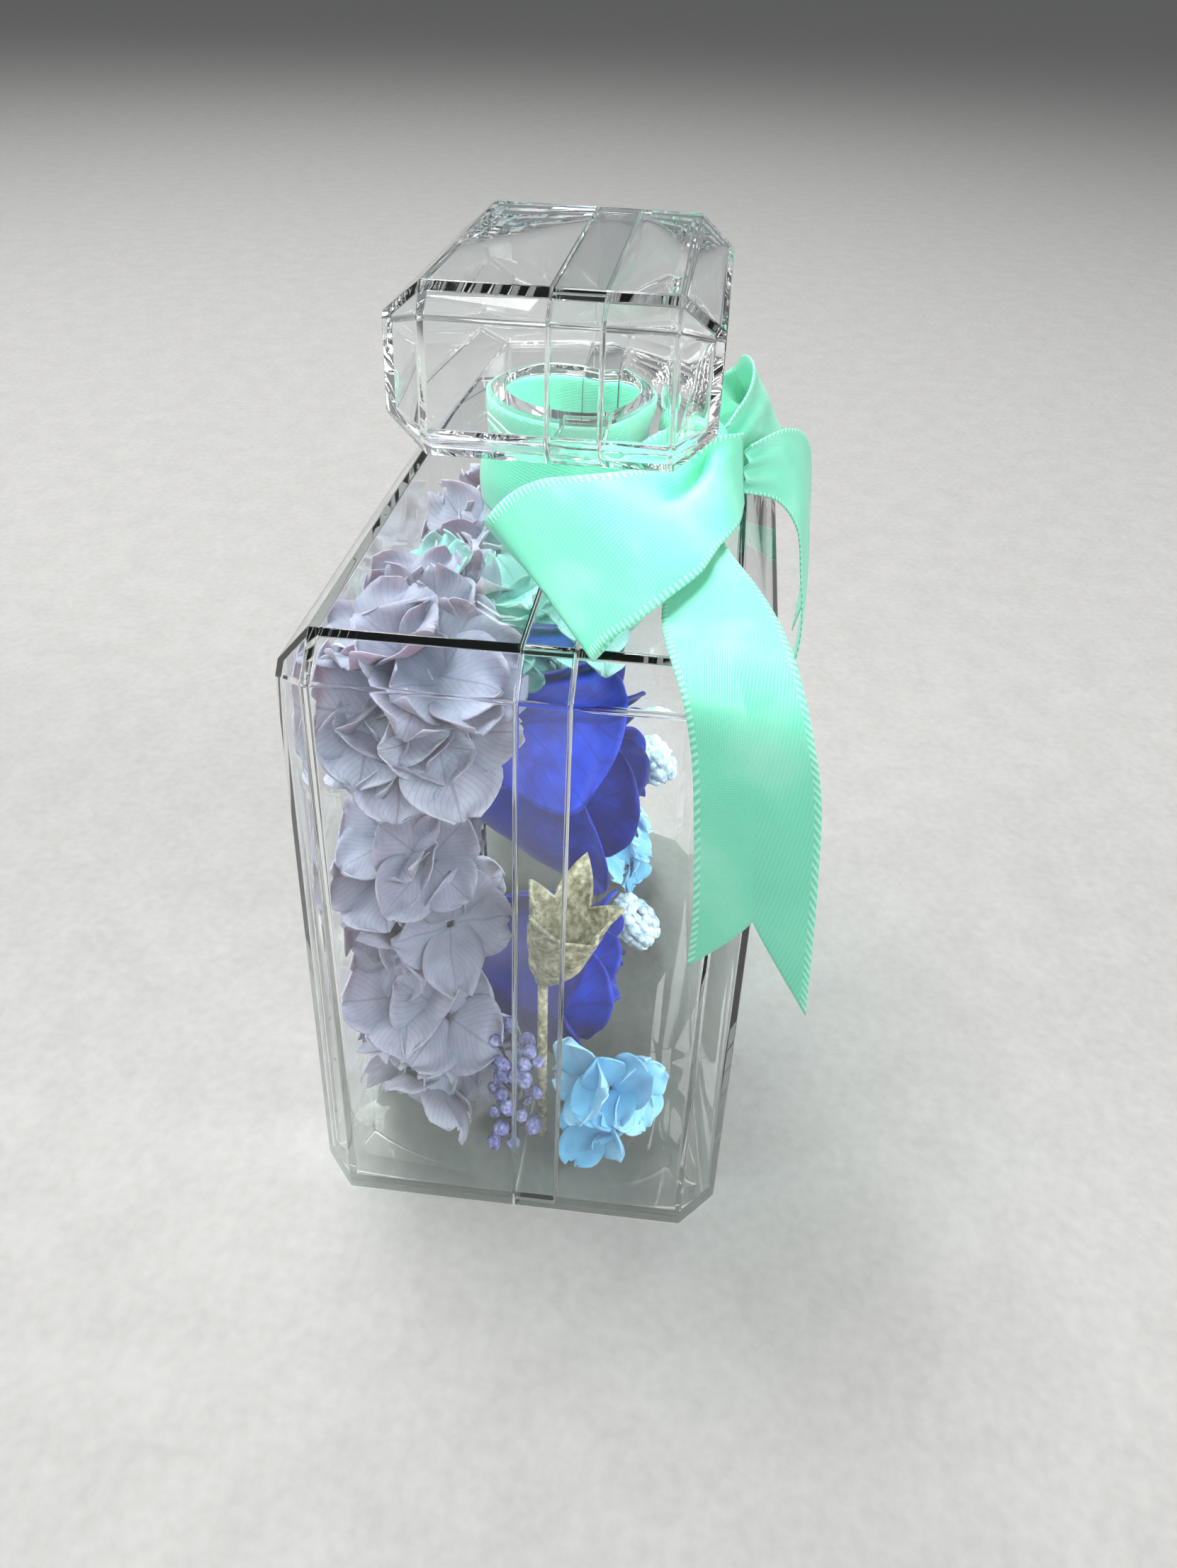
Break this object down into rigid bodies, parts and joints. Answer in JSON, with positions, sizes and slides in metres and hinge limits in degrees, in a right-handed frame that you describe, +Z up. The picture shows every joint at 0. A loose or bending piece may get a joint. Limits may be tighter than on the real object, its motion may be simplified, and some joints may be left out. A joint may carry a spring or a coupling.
{
  "type": "preserved rose arrangement in a bottle case",
  "caption": "Preserved blue roses and hydrangea in a clear perfume-bottle-shaped case with a mint satin bow on its neck",
  "frame": {"origin": "on the surface the bottle stands on, under the middle of the bottle's body", "axes": "+Z up; +X along the bottle's width; -Y is the front, the way the roses face"},
  "size_m": [0.1088, 0.067, 0.127],
  "materials": {
    "clear_acrylic": "moulded clear styrene-acrylic, polished, with faceted edges",
    "mint_satin": "mint green polyester satin ribbon with a woven edge",
    "blue_petal": "preserved rose petals dyed royal blue, velvety",
    "rose_calyx": "dyed calyx and trimmed stem of a preserved rose",
    "lavender_sepal": "preserved hydrangea sepals, lavender grey with fine veins",
    "teal_sepal": "preserved hydrangea sepals, pale teal",
    "pale_blue_sepal": "preserved hydrangea sepals, pale sky blue",
    "dry_pod": "rough dry seed pod, grey gold",
    "violet_bud": "dyed flower buds on thin dark stalks",
    "moss": "knobbly preserved moss, pale blue grey",
    "hot_glue": "hot-melt glue, milky"
  },
  "bodies": {
    "root": {"front_shell": "clear_acrylic", "back_shell": "clear_acrylic", "ribbon_neck_wrap": "mint_satin", "ribbon_knot": "mint_satin", "ribbon_near_loop": "mint_satin", "ribbon_far_loop": "mint_satin", "ribbon_near_tail": "mint_satin", "ribbon_far_tail": "mint_satin", "upper_rose_calyx": "rose_calyx", "upper_rose_heart": "blue_petal", "upper_rose_inner_petal_1": "blue_petal", "upper_rose_inner_petal_2": "blue_petal", "upper_rose_inner_petal_3": "blue_petal", "upper_rose_middle_petal_1": "blue_petal", "upper_rose_middle_petal_2": "blue_petal", "upper_rose_middle_petal_3": "blue_petal", "upper_rose_outer_petal_1": "blue_petal", "upper_rose_outer_petal_2": "blue_petal", "upper_rose_outer_petal_3": "blue_petal", "upper_rose_outer_petal_4": "blue_petal", "lower_rose_calyx": "rose_calyx", "lower_rose_heart": "blue_petal", "lower_rose_inner_petal_1": "blue_petal", "lower_rose_inner_petal_2": "blue_petal", "lower_rose_inner_petal_3": "blue_petal", "lower_rose_middle_petal_1": "blue_petal", "lower_rose_middle_petal_2": "blue_petal", "lower_rose_middle_petal_3": "blue_petal", "lower_rose_outer_petal_1": "blue_petal", "lower_rose_outer_petal_2": "blue_petal", "lower_rose_outer_petal_3": "blue_petal", "lower_rose_outer_petal_4": "blue_petal", "grey_hydrangea_foot_near": "lavender_sepal", "grey_hydrangea_mid_near": "lavender_sepal", "grey_hydrangea_top_near": "lavender_sepal", "grey_hydrangea_back_low": "lavender_sepal", "grey_hydrangea_back_mid": "lavender_sepal", "grey_hydrangea_top_back": "lavender_sepal", "grey_hydrangea_top_far": "lavender_sepal", "grey_hydrangea_end_far": "lavender_sepal", "teal_hydrangea_top": "teal_sepal", "teal_hydrangea_far": "teal_sepal", "pale_blue_hydrangea_near": "pale_blue_sepal", "pale_blue_hydrangea_far": "pale_blue_sepal", "seed_pod": "dry_pod", "bud_spray_near": "violet_bud", "bud_spray_far": "violet_bud", "moss_low": "moss", "moss_high": "moss", "upper_rose_glue": "hot_glue", "lower_rose_glue": "hot_glue"}
  },
  "joints": []
}
